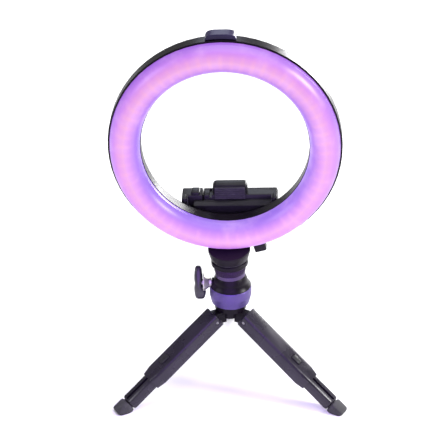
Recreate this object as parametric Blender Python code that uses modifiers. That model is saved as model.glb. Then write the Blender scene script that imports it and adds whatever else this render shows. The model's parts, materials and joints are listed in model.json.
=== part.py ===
"""Desk ring light: an LED ring with a phone clamp, on a ball head and a folding tripod.

All sizes are in millimetres and are turned into metres where meshes are made. The tripod stands on z = 0
with its axis vertical and one leg pointing back (+Y). The ring faces the front (-Y), turned and leaned a
little on its ball head. Pieces that touch keep a gap of GAP.
"""
import math

import bmesh
import bpy
from mathutils import Matrix, Vector

MM = 0.001
GAP = 0.3

# Ring: a hollow annular casing closed by a bulged, frosted diffuser
RING_R = 101.0
OPENING_R = 72.6
DIFFUSER_R = (73.1, 99.3)
BAND_R = sum(DIFFUSER_R) / 2
BAND_HALF = (DIFFUSER_R[1] - DIFFUSER_R[0]) / 2
PARTING = -2.4
BULGE = 14.6
CASING_BACK = -17.2
WALL = 2.0
DIFFUSER_WALL = 1.6
SCREW_R = 93.5
BRACKET_SCREW_X = 11.3
BRACKET_SCREW_Z = 46.0
INLET_DEPTH = -9.4
INLET_TURN = (0, math.pi / 2, math.radians(-75.3))
BOARD_DEPTH = -12.9

# Ball head, measured from the ball's centre
BALL_R = 13.0
CUP_R = BALL_R + GAP
DOME_R = 15.6
SKIRT_R = DOME_R + GAP
MOUTH = math.radians(47)
STEM_R = 4.6
RING_Z = 134.8
HEAD_TURN = math.radians(-2.2)
HEAD_LEAN = math.radians(-2.2)
HEAD_NOD = math.radians(0.8)
KNOB_TURN = math.radians(15)

# Tripod
LEG_COUNT = 3
LEG_SLOPE = math.radians(35.7)
PIVOT_R = 18.0
PIVOT_Z = 67.95
BALL_Z = PIVOT_Z + 32.45
UPPER_SIZE = (18.0, 14.2)
BORE_SIZE = (13.4, 11.8)
LOWER_SIZE = (12.8, 11.2)
UPPER_START = -3.7
UPPER_FULL = 70.0
UPPER_END = 78.3
LOWER_START = 42.0
LOWER_END = 105.7
LEG_END = 119.07
BUTTON_S = 56.0
GROOVE = (50.0, 104.0)
FOOT_REACH = PIVOT_R + LEG_END * math.cos(LEG_SLOPE) + LOWER_SIZE[1] / 2 * math.sin(LEG_SLOPE)
FRONT_REACH = FOOT_REACH * math.cos(math.radians(60)) + LOWER_SIZE[0] / 2 * math.sin(math.radians(60))
STAND_Y = (FRONT_REACH - FOOT_REACH) / 2

# Phone holder: the tilt bolt and the swivel screw, one above the other
HOLDER_Y = 47.0
TILT_Z = 47.0
SWIVEL_Z = 71.0

# Phone clamp, from the axis that it swivels on: x across, y back, z up
CLAMP_X = (-22.6, 43.2)
CLAMP_Y = (-19.5, -7.0)
CLAMP_Z = (-15.5, 2.4)
LEDGE_LEFT = -30.8
LEDGE_Y = -27.0
LEDGE_Z = -1.8
CREST_X = (-14.2, 16.6)
CREST_Z = 12.2
GRIP_Z = 3.6
JAW_LEFT = -41.6
BUMP_X = (-33.6, -25.4)
BUMP_Z = 5.0
COVER_BACK = -4.8
ROD_X = (-36.0, 22.0)
ROD_Y = (-14.3, -9.5)
ROD_Z = -7.5

BLACK = (0.022, 0.020, 0.024)
RUBBER = (0.03, 0.03, 0.032)
STEEL = (0.62, 0.62, 0.64)
BRASS = (0.72, 0.52, 0.25)
SILVER = (0.66, 0.65, 0.70)
BOARD = (0.86, 0.87, 0.84)
DIFFUSER = (0.82, 0.62, 0.95)


def clear_scene():
    for obj in list(bpy.data.objects):
        bpy.data.objects.remove(obj, do_unlink=True)


def collection(name):
    made = bpy.data.collections.new(name)
    bpy.context.scene.collection.children.link(made)
    return made


clear_scene()
PARTS = collection("ring_light")
CUTTERS = collection("ring_light_cutters")


def surface(colour, roughness=0.5, metallic=0.0):
    """A look that a piece is given: colour, roughness and metallic value."""
    return colour, roughness, metallic


def material(name, colour, roughness, metallic):
    made = bpy.data.materials.new(name)
    made.use_nodes = True
    shader = made.node_tree.nodes["Principled BSDF"]
    shader.inputs["Base Color"].default_value = (*colour, 1.0)
    shader.inputs["Roughness"].default_value = roughness
    shader.inputs["Metallic"].default_value = metallic
    return made


def frame(name, at=(0, 0, 0), turn=(0, 0, 0), parent=None):
    """An empty that carries other objects; it is a frame of reference and not a piece."""
    empty = bpy.data.objects.new(name, None)
    PARTS.objects.link(empty)
    place(empty, at, turn, parent)
    return empty


def place(obj, at, turn, parent):
    obj.location = Vector(at) * MM
    obj.rotation_euler = turn
    obj.parent = parent


def finish(obj, look, at, turn, parent):
    """Put a piece in its collection, or a shape without a look among the cutters."""
    place(obj, at, turn, parent)
    if look is None:
        CUTTERS.objects.link(obj)
        obj.hide_render = True
        obj.display_type = "WIRE"
    else:
        PARTS.objects.link(obj)
        obj.data.materials.append(material(obj.name, *look))
    return obj


def mesh_object(name, bm):
    mesh = bpy.data.meshes.new(name)
    bm.to_mesh(mesh)
    bm.free()
    return bpy.data.objects.new(name, mesh)


def turned(name, outline, look=None, at=(0, 0, 0), turn=(0, 0, 0), parent=None, steps=28, loop=False):
    """A solid of revolution about its own Z: outline points (radius, height) run down the outer side."""
    bm = bmesh.new()
    verts = [bm.verts.new((radius * MM, 0, height * MM)) for radius, height in outline]
    for first, second in zip(verts, verts[1:]):
        bm.edges.new((first, second))
    if loop:
        bm.edges.new((verts[-1], verts[0]))
    obj = mesh_object(name, bm)
    spin = obj.modifiers.new("turn", "SCREW")
    spin.angle = math.tau
    spin.steps = spin.render_steps = steps
    spin.use_merge_vertices = True
    spin.use_smooth_shade = True
    spin.merge_threshold = 0.00001
    return finish(obj, look, at, turn, parent)


def rod(name, radius, low, high, look=None, at=(0, 0, 0), turn=(0, 0, 0), parent=None, steps=16):
    """A plain cylinder along its own Z, from low to high."""
    outline = [(0, high), (radius, high), (radius, low), (0, low)]
    return turned(name, outline, look, at, turn, parent, steps)


def block(name, low, high, look=None, at=(0, 0, 0), turn=(0, 0, 0), parent=None, bevel=0.0, segments=2):
    """A box between two corners, with every edge rounded by bevel."""
    bm = bmesh.new()
    bmesh.ops.create_cube(bm, size=1.0)
    size = [(b - a) * MM for a, b in zip(low, high)]
    centre = [(a + b) / 2 * MM for a, b in zip(low, high)]
    bm.transform(Matrix.Translation(centre) @ Matrix.Diagonal((*size, 1.0)))
    obj = mesh_object(name, bm)
    if bevel:
        round_edges(obj, bevel, segments)
    return finish(obj, look, at, turn, parent)


def round_edges(obj, width, segments=2):
    rounding = obj.modifiers.new("rounding", "BEVEL")
    rounding.width = width * MM
    rounding.segments = segments
    rounding.limit_method = "ANGLE"
    rounding.angle_limit = math.radians(40)


def combine(obj, others, operation):
    for index, other in enumerate(others):
        step = obj.modifiers.new(f"{operation.lower()}_{index}", "BOOLEAN")
        step.operation = operation
        step.solver = "EXACT"
        step.object = other


def cut(obj, *others):
    combine(obj, others, "DIFFERENCE")


def join(obj, *others):
    combine(obj, others, "UNION")


def arc(radius, start, end, count, centre=(0.0, 0.0)):
    """Points (x, z) on a circle; angles run from the axis Z towards X."""
    angles = [start + (end - start) * step / count for step in range(count + 1)]
    return [(centre[0] + radius * math.sin(a), centre[1] + radius * math.cos(a)) for a in angles]


def bulge(half_width, height, count):
    """The diffuser's section: a half ellipse over the band, from the outer edge to the inner one."""
    angles = [math.pi * step / count for step in range(count + 1)]
    return [(BAND_R + half_width * math.cos(a), PARTING + height * math.sin(a)) for a in angles]


def on_ring(radius, angle):
    return radius * math.cos(angle), radius * math.sin(angle)


# --- Ring -------------------------------------------------------------------------------------------

def screw_angles():
    return [math.radians(45 + 90 * step) for step in range(4)]


def make_rear_casing(ring):
    corner = 4.7
    outer = arc(corner, math.pi / 2, math.pi, 4, (RING_R - corner, CASING_BACK + corner))
    inner = arc(corner, math.pi, math.pi * 1.5, 4, (OPENING_R + corner, CASING_BACK + corner))
    floor = CASING_BACK + WALL
    edge = PARTING - GAP
    outline = [(RING_R, edge), *outer, *inner, (OPENING_R, edge), (OPENING_R + WALL, edge),
               (OPENING_R + WALL, floor + 3), (OPENING_R + WALL + 3, floor),
               (RING_R - WALL - 3, floor), (RING_R - WALL, floor + 3), (RING_R - WALL, edge)]
    casing = turned("rear_casing", outline, surface(BLACK, 0.42), parent=ring, steps=64,
                    loop=True)
    for index, angle in enumerate(screw_angles()):
        spot = (*on_ring(SCREW_R, angle), 0)
        join(casing, rod(f"boss_{index}", 3.0, -16.5, -13.2, at=spot, parent=ring))
        hole = [(0, -12), (1.3, -12), (1.3, -15.5), (2.3, -15.5), (2.3, -18), (0, -18)]
        cut(casing, turned(f"screw_hole_{index}", hole, at=spot, parent=ring, steps=16))
        board_post = (*on_ring(83.5, angle + math.pi / 4), 0)
        join(casing, rod(f"board_post_{index}", 2.5, -15.7, -10.8, at=board_post, parent=ring))
    for side in (-1, 1):
        spot = (side * BRACKET_SCREW_X, BRACKET_SCREW_Z - RING_Z, 0)
        join(casing, rod(f"bracket_boss_{side}", 2.6, -15.7, -11.2, at=spot, parent=ring))
        cut(casing, rod(f"bracket_hole_{side}", 1.3, -18, -10.8, at=spot, parent=ring))
    cut(casing, rod("inlet_hole", 3.4, 92, 104, at=(0, 0, INLET_DEPTH), turn=INLET_TURN, parent=ring))
    return casing


def make_diffuser(ring):
    shell = bulge(BAND_HALF, BULGE, 12)
    cavity = bulge(BAND_HALF - DIFFUSER_WALL, BULGE - DIFFUSER_WALL, 8)
    tuck = PARTING - 2.4
    outer_tuck = RING_R - WALL - 0.4
    inner_tuck = OPENING_R + WALL + 0.4
    thickness = 1.4
    outline = [*reversed(shell), (outer_tuck, PARTING), (outer_tuck, tuck), (outer_tuck - thickness, tuck),
               *cavity[1:-1], (inner_tuck + thickness, tuck), (inner_tuck, tuck), (inner_tuck, PARTING)]
    diffuser = turned("diffuser", outline, surface(DIFFUSER, 0.4), parent=ring,
                      steps=64, loop=True)
    for index, angle in enumerate(screw_angles()):
        spot = (*on_ring(SCREW_R, angle), 0)
        join(diffuser, rod(f"diffuser_post_{index}", 2.4, -12.9, 6.6, at=spot, parent=ring, steps=12))
        cut(diffuser, rod(f"post_bore_{index}", 1.3, -13.5, -6.5, at=spot, parent=ring, steps=12))
    return diffuser


def make_casing_screws(ring):
    outline = [(0, -7.5), (0.7, -7.5), (1.0, -8.2), (1.0, -15.8), (1.9, -15.8), (1.9, -16.7), (1.5, -17.1),
               (0, -17.1)]
    for index, angle in enumerate(screw_angles(), 1):
        spot = (*on_ring(SCREW_R, angle), 0)
        turned(f"casing_screw_{index}", outline, surface(STEEL, 0.3, 1.0), at=spot,
               parent=ring, steps=14)


def make_boards(ring):
    outline = [(90.3, -9.0), (90.3, -10.5), (77.0, -10.5), (77.0, -9.0)]
    turned("led_board", outline, surface(BOARD, 0.6), parent=ring, steps=48, loop=True)
    block("driver_board", (-0.6, -8, 81), (0.6, 8, 91), surface((0.05, 0.25, 0.1), 0.6),
          at=(0, 0, BOARD_DEPTH), turn=INLET_TURN, parent=ring)


def make_top_cap(ring):
    """A low domed boss on the crown of the casing, flat in its middle, its foot on the casing's curve."""
    half_foot = math.asin(13.7 / RING_R)
    foot = arc(RING_R + GAP, -half_foot, half_foot, 6)
    rise = [(13.1, 1.2), (12.3, 2.7), (10.6, 3.9), (8.2, 4.6), (5.2, 4.9)]
    crown = [(x, RING_R + height) for x, height in rise]
    points = [*foot, *crown, *[(-x, y) for x, y in reversed(crown)]]
    curve = bpy.data.curves.new("top_cap", "CURVE")
    curve.dimensions = "2D"
    curve.fill_mode = "BOTH"
    curve.extrude = 5.8 * MM
    spline = curve.splines.new("POLY")
    spline.points.add(len(points) - 1)
    for point, (x, y) in zip(spline.points, points):
        point.co = (x * MM, y * MM, 0, 1)
    spline.use_cyclic_u = True
    cap = bpy.data.objects.new("top_cap", curve)
    finish(cap, surface(BLACK, 0.35), (0, 0, -9.2), (0, 0, 0), ring)


def make_inlet(ring):
    """The power inlet: a short block on the casing's rim, with a round socket open to the outside."""
    spot = (0, 0, INLET_DEPTH)
    housing = block("inlet_housing", (-5.0, -5.3, RING_R + GAP), (5.0, 5.3, 110.0),
                    surface(BLACK, 0.35), at=spot, turn=INLET_TURN, parent=ring, bevel=1.2)
    cut(housing, rod("inlet_bore", 3.4, 98, 112, at=spot, turn=INLET_TURN, parent=ring))
    socket = [(0, 106.5), (0.5, 106.5), (0.5, 98), (2.4, 98), (2.4, 109.4), (3.1, 109.4), (3.1, 95.5),
              (0, 95.5)]
    turned("inlet_socket", socket, surface(STEEL, 0.3, 1.0), at=spot, turn=INLET_TURN,
           parent=ring, steps=16)
    lead = bpy.data.curves.new("inlet_lead", "CURVE")
    lead.dimensions = "3D"
    lead.bevel_depth = 0.8 * MM
    lead.bevel_resolution = 2
    lead.use_fill_caps = True
    drop = INLET_DEPTH - BOARD_DEPTH
    route = [(0, 0, 95.2), (-0.1 * drop, 0, 94.5), (0.15 * drop, 0, 93.7), (0.6 * drop, 0, 92.6),
             (drop, 0, 91.5)]
    spline = lead.splines.new("POLY")
    spline.points.add(len(route) - 1)
    for point, spot_on_route in zip(spline.points, route):
        point.co = (*[value * MM for value in spot_on_route], 1)
    cable = bpy.data.objects.new("inlet_lead", lead)
    finish(cable, surface((0.5, 0.03, 0.03), 0.5), spot, INLET_TURN, ring)


def make_ring_foot(head):
    """The flange under the ring, its top cut to the casing's curve, with a brass thread inside."""
    bottom = 25.5
    outline = [(0, 37), (18.8, 37), (18.5, 32.6), (16.8, 26.4), (16.1, bottom), (5.3, bottom), (5.3, 30.2),
               (0, 30.2)]
    foot = turned("ring_foot", outline, surface(BLACK, 0.35), parent=head, steps=40)
    cut(foot, rod("ring_clearance", RING_R + GAP, -30, 30, at=(0, 0, RING_Z), turn=(math.pi / 2, 0, 0),
                  parent=head, steps=144))
    insert = [(5.0, 29.9), (5.0, 25.8), (3.45, 25.8), (3.45, 29.9)]
    turned("foot_insert", insert, surface(BRASS, 0.3, 1.0), parent=head, steps=24, loop=True)


# --- Phone holder -----------------------------------------------------------------------------------

def make_holder_bracket(head):
    """A plate on the back of the casing, with a two-eared fork for the tilt bolt."""
    look = surface(BLACK, 0.35)
    plate_back = 20.5
    bracket = block("holder_bracket", (-15, 17.5, 40), (15, plate_back, 51.5), look, parent=head, bevel=0.8)
    for side in (-1, 1):
        near, far = sorted((side * 4.9, side * 7.4))
        ear = block(f"ear_{side}", (near, 19.5, 42.2), (far, HOLDER_Y, 49.8), parent=head)
        end = rod(f"ear_end_{side}", 4.8, near, far, at=(0, HOLDER_Y, TILT_Z), turn=(0, math.pi / 2, 0),
                  parent=head, steps=20)
        join(bracket, ear, end)
        spot = (side * BRACKET_SCREW_X, 0, BRACKET_SCREW_Z)
        cut(bracket, rod(f"plate_hole_{side}", 1.3, -22, -16, at=spot, turn=(math.pi / 2, 0, 0),
                         parent=head))
        outline = [(0, -12.0), (1.0, -12.0), (1.0, -20.8), (2.0, -20.8), (2.0, -21.8), (1.5, -22.3),
                   (0, -22.3)]
        turned(f"bracket_screw_{(side + 3) // 2}", outline, surface(STEEL, 0.3, 1.0), at=spot,
               turn=(math.pi / 2, 0, 0), parent=head, steps=14)
    cut(bracket, rod("tilt_bore", 2.2, -12, 12, at=(0, HOLDER_Y, TILT_Z), turn=(0, math.pi / 2, 0),
                     parent=head))


def make_tilt_joint(head):
    """The bolt through the fork, its knob, and the knuckle that carries the clamp."""
    pivot = (0, HOLDER_Y, TILT_Z)
    across = (0, math.pi / 2, 0)
    bolt = [(0, 12.6), (1.9, 12.6), (1.9, -7.7), (3.4, -7.7), (3.4, -9.2), (3.0, -9.6), (0, -9.6)]
    turned("tilt_bolt", bolt, surface(STEEL, 0.3, 1.0), at=pivot, turn=across, parent=head,
           steps=20)
    knob = [(0, 15.7), (4.6, 15.7), (5.5, 14.8), (5.5, 8.6), (4.6, 7.7), (2.2, 7.7), (2.2, 13.0), (0, 13.0)]
    turned("tilt_knob", knob, surface(BLACK, 0.35), at=pivot, turn=across, parent=head,
           steps=24)
    knuckle = rod("holder_knuckle", 4.6, -4.6, 4.6, surface(BLACK, 0.45), at=pivot,
                  turn=across, parent=head, steps=20)
    arm = block("knuckle_arm", (-4.6, -4.5, 2), (4.6, 0.5, SWIVEL_Z - TILT_Z), at=pivot, parent=head)
    swivel = (0, HOLDER_Y, SWIVEL_Z)
    disc = rod("knuckle_disc", 6.4, -0.5, 4.5, at=swivel, turn=(math.pi / 2, 0, 0), parent=head, steps=20)
    join(knuckle, arm, disc)
    cut(knuckle, rod("knuckle_bore", 2.2, -6, 6, at=pivot, turn=across, parent=head),
        rod("swivel_bore", 3.2, -2, 6, at=swivel, turn=(math.pi / 2, 0, 0), parent=head))


def make_clamp_body(clamp):
    """The fixed half of the clamp: a hollow bar with a ledge, an end grip and a raised middle."""
    x0, x1 = CLAMP_X
    y0, y1 = CLAMP_Y
    z0, z1 = CLAMP_Z
    look = surface(BLACK, 0.45)
    body = block("clamp_body", (x0, y0, z0), (x1, y1, z1), look, parent=clamp, bevel=1.5)
    ledge = block("body_ledge", (x0 + 0.2, LEDGE_Y, z0 + 0.4), (x1 - 2, y0 + 3, LEDGE_Z), parent=clamp,
                  bevel=1.0)
    tongue = block("ledge_tongue", (LEDGE_LEFT, LEDGE_Y + 0.2, z0 + 0.9), (x0 + 6, y0 - GAP, LEDGE_Z - 0.2),
                   parent=clamp, bevel=1.0)
    crest_low = (CREST_X[0], y0 + 0.3, z1 - 6)
    crest_high = (CREST_X[1], y1 - 0.3, CREST_Z)
    crest = block("body_crest", crest_low, crest_high, parent=clamp, bevel=3.4, segments=3)
    grip = block("body_grip", (x1 - 4.3, LEDGE_Y - 0.4, z0 + 0.8), (x1 - 0.3, y0 + 2, GRIP_Z), parent=clamp,
                 bevel=1.2)
    join(body, ledge, tongue, crest, grip)
    low, high = ROD_Z - 3.1, ROD_Z + 3.1
    pocket = block("body_pocket", (-5.0, -17.0, low), (x1 - 3, y1 + 1, high), parent=clamp)
    end_pocket = block("body_end_pocket", (x0 + 3, -17.0, low), (-7.3, y1 + 1, high), parent=clamp)
    notch = block("body_notch", (x0 + 5.2, y0 - 1, z1 - 2.5), (x0 + 7.4, y1 + 1, z1 + 2), parent=clamp)
    cut(body, pocket, end_pocket, notch)
    for index, depth in enumerate(ROD_Y):
        cut(body, rod(f"rod_hole_{index}", 1.6, x0 - 2, -1, at=(0, depth, ROD_Z), turn=(0, math.pi / 2, 0),
                      parent=clamp, steps=12))
    cut(body, rod("swivel_thread", 3.2, 5, 14, turn=(math.pi / 2, 0, 0), parent=clamp))
    cover = block("clamp_cover", (x0, y1 + GAP, z0 + 0.5), (x1 - 1, COVER_BACK, z1 - 0.7), look,
                  parent=clamp, bevel=0.6)
    hump_low = (CREST_X[0] + 2.5, y1 + GAP, z1 - 6)
    hump_high = (CREST_X[1] - 2.5, COVER_BACK, CREST_Z - 2.5)
    join(cover, block("cover_hump", hump_low, hump_high, parent=clamp, bevel=0.6))
    cut(cover, rod("cover_hole", 3.2, 3, 8, turn=(math.pi / 2, 0, 0), parent=clamp))


def make_sliding_jaw(clamp):
    y0, y1 = CLAMP_Y
    z0, z1 = CLAMP_Z
    right = CLAMP_X[0] - GAP - 0.1
    look = surface(BLACK, 0.45)
    jaw = block("sliding_jaw", (JAW_LEFT, y0, z0), (right, COVER_BACK, z1), look, parent=clamp, bevel=1.5)
    grip = block("jaw_grip", (JAW_LEFT + 0.3, LEDGE_Y - 0.4, z0 + 0.8), (JAW_LEFT + 4.3, y0 + 2, GRIP_Z),
                 parent=clamp, bevel=1.2)
    bump = block("jaw_bump", (BUMP_X[0], y0 + 0.7, z1 - 3), (BUMP_X[1], y1 - 1.2, BUMP_Z), parent=clamp,
                 bevel=1.9, segments=3)
    join(jaw, grip, bump)
    for index, depth in enumerate(ROD_Y):
        cut(jaw, rod(f"jaw_rod_hole_{index}", 1.6, ROD_X[0] - 0.5, right + 2, at=(0, depth, ROD_Z),
                     turn=(0, math.pi / 2, 0), parent=clamp, steps=12))


def make_guide_rods(clamp):
    """The guide rods and the yoke that joins them in the body are one piece, pulled in by two springs."""
    sideways = (0, math.pi / 2, 0)
    near, far = ROD_Y
    left, right = ROD_X
    rods = rod("guide_rods", 1.3, left, right, surface(STEEL, 0.3, 1.0),
               at=(0, near, ROD_Z), turn=sideways, parent=clamp, steps=12)
    second = rod("second_rod", 1.3, left, right, at=(0, far, ROD_Z), turn=sideways, parent=clamp, steps=12)
    yoke = block("rod_yoke", (right - 1.0, near - 2.2, ROD_Z - 2.4), (right + 1.5, far + 2.2, ROD_Z + 2.4),
                 parent=clamp)
    join(rods, second, yoke)
    spring_end = right - 1.0 - GAP
    for index, depth in enumerate(ROD_Y, 1):
        outline = [(2.2, spring_end), (2.2, -4.7), (1.6, -4.7), (1.6, spring_end)]
        turned(f"jaw_spring_{index}", outline, surface(STEEL, 0.35, 1.0),
               at=(0, depth, ROD_Z), turn=sideways, parent=clamp, steps=14, loop=True)


def make_clamp_pads(clamp):
    look = surface(RUBBER, 0.8)
    left = JAW_LEFT + 4.6
    right = CLAMP_X[1] - 4.6
    front = CLAMP_Y[0]
    grips = (("jaw_pad", left, CLAMP_Z[0] + 2), ("fixed_jaw_pad", right - 1.0, LEDGE_Z + 0.4))
    for name, edge, low in grips:
        block(name, (edge, LEDGE_Y + 0.6, low), (edge + 1.0, front - 0.5, GRIP_Z - 0.5), look, parent=clamp)
    block("back_pad", (CREST_X[0] + 2, front - 1.5, LEDGE_Z + 0.5),
          (CREST_X[1] - 2, front - GAP, CREST_Z - 2), look, parent=clamp, bevel=0.5)


def make_swivel_screw(clamp):
    outline = [(0, 13.0), (2.2, 13.0), (2.9, 12.3), (2.9, -0.8), (4.4, -0.8), (4.4, -3.4), (3.9, -4.0),
               (0, -4.0)]
    turned("swivel_screw", outline, surface(STEEL, 0.3, 1.0), turn=(math.pi / 2, 0, 0),
           parent=clamp, steps=20)


# --- Ball head --------------------------------------------------------------------------------------

def make_ball(head):
    bm = bmesh.new()
    bmesh.ops.create_uvsphere(bm, u_segments=24, v_segments=14, radius=BALL_R * MM)
    ball = mesh_object("ball", bm)
    ball.data.shade_smooth()
    finish(ball, surface(BLACK, 0.3), (0, 0, 0), (0, 0, 0), head)


def make_stem(head):
    stem_angle = math.asin(STEM_R / CUP_R)
    outline = [(0, 21), (STEM_R, 21), *reversed(arc(CUP_R, 0, stem_angle, 3))]
    turned("ball_stem", outline, surface(STEEL, 0.35, 1.0), parent=head, steps=24)
    edge = math.asin(13.4 / SKIRT_R)
    throat = math.asin(4.9 / SKIRT_R)
    shoulder = arc(17.4, math.asin(7.0 / 17.4), math.asin(12.4 / 17.4), 3)
    outline = [(4.9, 17.0), (7.0, 17.0), *shoulder, (13.4, 12.2), *reversed(arc(SKIRT_R, throat, edge, 5))]
    turned("stem_skirt", outline, surface(BLACK, 0.35), parent=head, steps=32, loop=True)
    outline = [(7.4, 18.9), (13.5, 18.9), (14.0, 18.4), (14.0, 13.0), (13.5, 12.5), (12.7, 12.5),
               (10.0, 14.8), (7.4, 16.3)]
    turned("lock_ring", outline, surface(SILVER, 0.35, 1.0), parent=head, steps=40, loop=True)


def make_platform(head):
    outline = [(0, 22.0), (3.45, 22.0), (3.45, 24.1), (15.7, 24.1), (16.4, 23.4), (16.4, 20.2),
               (15.4, 19.2), (4.9, 19.2), (4.9, 21.3), (0, 21.3)]
    turned("platform", outline, surface(BLACK, 0.35), parent=head, steps=36)
    pad = [(15.2, 25.2), (15.2, 24.4), (3.45, 24.4), (3.45, 25.2)]
    turned("platform_pad", pad, surface(RUBBER, 0.8), parent=head, steps=32, loop=True)
    stud = [(0, 29.7), (2.5, 29.7), (3.15, 29.0), (3.15, 22.3), (0, 22.3)]
    turned("head_stud", stud, surface(STEEL, 0.3, 1.0), parent=head, steps=20)


def make_housing(stand):
    """The ball's outer cup: a dome that the skirt slides over, and a side boss for the lock screw."""
    ball = (0, 0, BALL_Z)
    flare = math.radians(85)
    dome = arc(DOME_R, MOUTH, flare, 6)
    cup = arc(CUP_R, MOUTH, math.pi / 2, 6)
    outline = [*dome, (18.4, -1.7), (18.4, -2.0), (15.0, -2.0), (15.0, -11.0), (13.6, -11.0), (13.6, -0.6),
               *reversed(cup)]
    housing = turned("ball_housing", outline, surface(BLACK, 0.4), at=ball, parent=stand,
                     steps=36, loop=True)
    left = (0, -math.pi / 2, 0)
    join(housing, rod("lock_boss", 4.5, 14.4, 19.5, at=ball, turn=left, parent=stand, steps=20))
    cut(housing, rod("lock_bore", 2.8, 10, 21, at=ball, turn=left, parent=stand, steps=16),
        rod("shaft_clearance", 4.7, 16.6, 21, at=ball, turn=left, parent=stand, steps=20))
    base = [(15.3, -2.3), (18.2, -2.3), (18.7, -3.2), (18.7, -10.5), (16.8, -18.5), (3.4, -18.5),
            (3.4, -14.7), (15.3, -14.7)]
    collar = turned("head_base", base, surface(SILVER, 0.45, 0.2), at=ball, parent=stand,
                    steps=36, loop=True)
    cut(collar, rod("boss_clearance", 4.8, 13, 21, at=ball, turn=left, parent=stand, steps=20))
    bowl = arc(CUP_R, math.pi - math.asin(3.6 / CUP_R), math.acos(-5.0 / CUP_R), 4)
    seat = [(13.2, -5.0), (13.2, -14.4), (3.6, -14.4), *bowl]
    turned("ball_seat", seat, surface((0.8, 0.8, 0.78), 0.5), at=ball, parent=stand, steps=28,
           loop=True)


def make_lock_knob(stand):
    ball = (0, 0, BALL_Z)
    left = (0, -math.pi / 2, 0)
    outline = [(0, 30.0), (3.0, 30.0), (3.0, 24.3), (8.3, 24.3), (8.3, 23.4), (4.3, 18.8), (4.3, 16.9),
               (2.5, 16.9), (2.5, 14.0), (2.0, 13.4), (0, 13.4)]
    turned("knob_screw", outline, surface(STEEL, 0.3, 1.0), at=ball, turn=left, parent=stand,
           steps=24)
    wing = block("knob_wing", (-32.6, -6.5, -15.3), (-24.6, 6.5, 15.3), surface(BLACK, 0.4),
                 at=ball, turn=(-KNOB_TURN, 0, 0), parent=stand, bevel=3.6, segments=3)
    heel = block("wing_heel", (-31.5, -5.6, -15.0), (-21.2, 5.6, -9.0), at=ball, turn=(-KNOB_TURN, 0, 0),
                 parent=stand, bevel=2.4)
    join(wing, heel)
    cut(wing, rod("wing_bore", 3.3, 22, 30.3, at=ball, turn=left, parent=stand, steps=16))


# --- Tripod -----------------------------------------------------------------------------------------

def leg_angles():
    """Two legs to the front and one straight back, a third of a turn apart."""
    return [math.radians(90 + 360 / LEG_COUNT * step) for step in range(LEG_COUNT)]


def make_hub(stand):
    """The hub: a turned core with a lug for each leg, and a heel on each lug that stops its leg."""
    ball = (0, 0, BALL_Z)
    outline = [(3.2, -18.8), (14.0, -18.8), (14.0, -25.0), (9.3, -27.5), (9.3, -32.3), (8.6, -33.0),
               (5.4, -33.0), (5.4, -28.0), (3.2, -28.0)]
    hub = turned("hub", outline, surface(BLACK, 0.4), at=ball, parent=stand, steps=32,
                 loop=True)
    for index, angle in enumerate(leg_angles(), 1):
        pivot = (PIVOT_R * math.cos(angle), PIVOT_R * math.sin(angle), PIVOT_Z)
        centre = (0, 0, PIVOT_Z)
        lug = block(f"lug_{index}", (6.6, -4.5, -4.2), (PIVOT_R, 4.5, 4.2), at=centre, turn=(0, 0, angle),
                    parent=stand)
        heel = block(f"heel_{index}", (6.6, -4.3, 0), (PIVOT_R + 1.0, 4.3, 6.2), at=centre,
                     turn=(0, 0, angle), parent=stand)
        end = rod(f"lug_end_{index}", 4.2, -4.5, 4.5, at=pivot, turn=(math.pi / 2, 0, angle), parent=stand,
                  steps=24)
        join(hub, lug, heel, end)
        cut(hub, rod(f"pin_bore_{index}", 1.75, -6, 6, at=pivot, turn=(math.pi / 2, 0, angle),
                     parent=stand))
        rod(f"leg_pin_{index}", 1.5, -8.7, 8.7, surface(STEEL, 0.3, 1.0), at=pivot,
            turn=(math.pi / 2, 0, angle), parent=stand)
    bolt = [(0, -13.7), (2.4, -13.7), (2.9, -14.3), (2.9, -28.3), (5.0, -28.3), (5.0, -31.4), (4.5, -31.9),
            (0, -31.9)]
    turned("centre_bolt", bolt, surface(STEEL, 0.3, 1.0), at=ball, parent=stand, steps=20)


def tapered_bar(name, look, parent):
    """A leg's upper section: a bar along X whose outer end narrows, with rounded long edges."""
    bm = bmesh.new()
    bmesh.ops.create_cube(bm, size=1.0)
    length = UPPER_END - UPPER_START
    centre = (UPPER_START + UPPER_END) / 2
    size = Matrix.Diagonal((length * MM, UPPER_SIZE[0] * MM, UPPER_SIZE[1] * MM, 1.0))
    bm.transform(Matrix.Translation((centre * MM, 0, 0)) @ size)
    bmesh.ops.bisect_plane(bm, geom=[*bm.verts, *bm.edges, *bm.faces], dist=1e-7,
                           plane_co=(UPPER_FULL * MM, 0, 0), plane_no=(1, 0, 0))
    narrow = (15.2 / UPPER_SIZE[0], 13.0 / UPPER_SIZE[1])
    weights = bm.edges.layers.float.new("bevel_weight_edge")
    for vert in bm.verts:
        if vert.co.x > (UPPER_FULL + 1) * MM:
            vert.co.y *= narrow[0]
            vert.co.z *= narrow[1]
    for edge in bm.edges:
        run = abs(edge.verts[0].co.x - edge.verts[1].co.x)
        start = max(vert.co.x for vert in edge.verts) < 0
        if run > 1 * MM:
            tip = max(vert.co.x for vert in edge.verts) > (UPPER_FULL + 1) * MM
            edge[weights] = 0.6 if tip else 1.0
        elif start:
            edge[weights] = 0.5
    bar = mesh_object(name, bm)
    rounding = bar.modifiers.new("rounding", "BEVEL")
    rounding.width = 3.0 * MM
    rounding.segments = 3
    rounding.limit_method = "WEIGHT"
    return finish(bar, look, (0, 0, 0), (0, 0, 0), parent)


def box_along(name, start, end, width, low, high, parent, look=None, bevel=0.0):
    """A box along a leg: from start to end, width across, and low to high from the centre line."""
    return block(name, (start, -width / 2, low), (end, width / 2, high), look, parent=parent, bevel=bevel)


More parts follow.
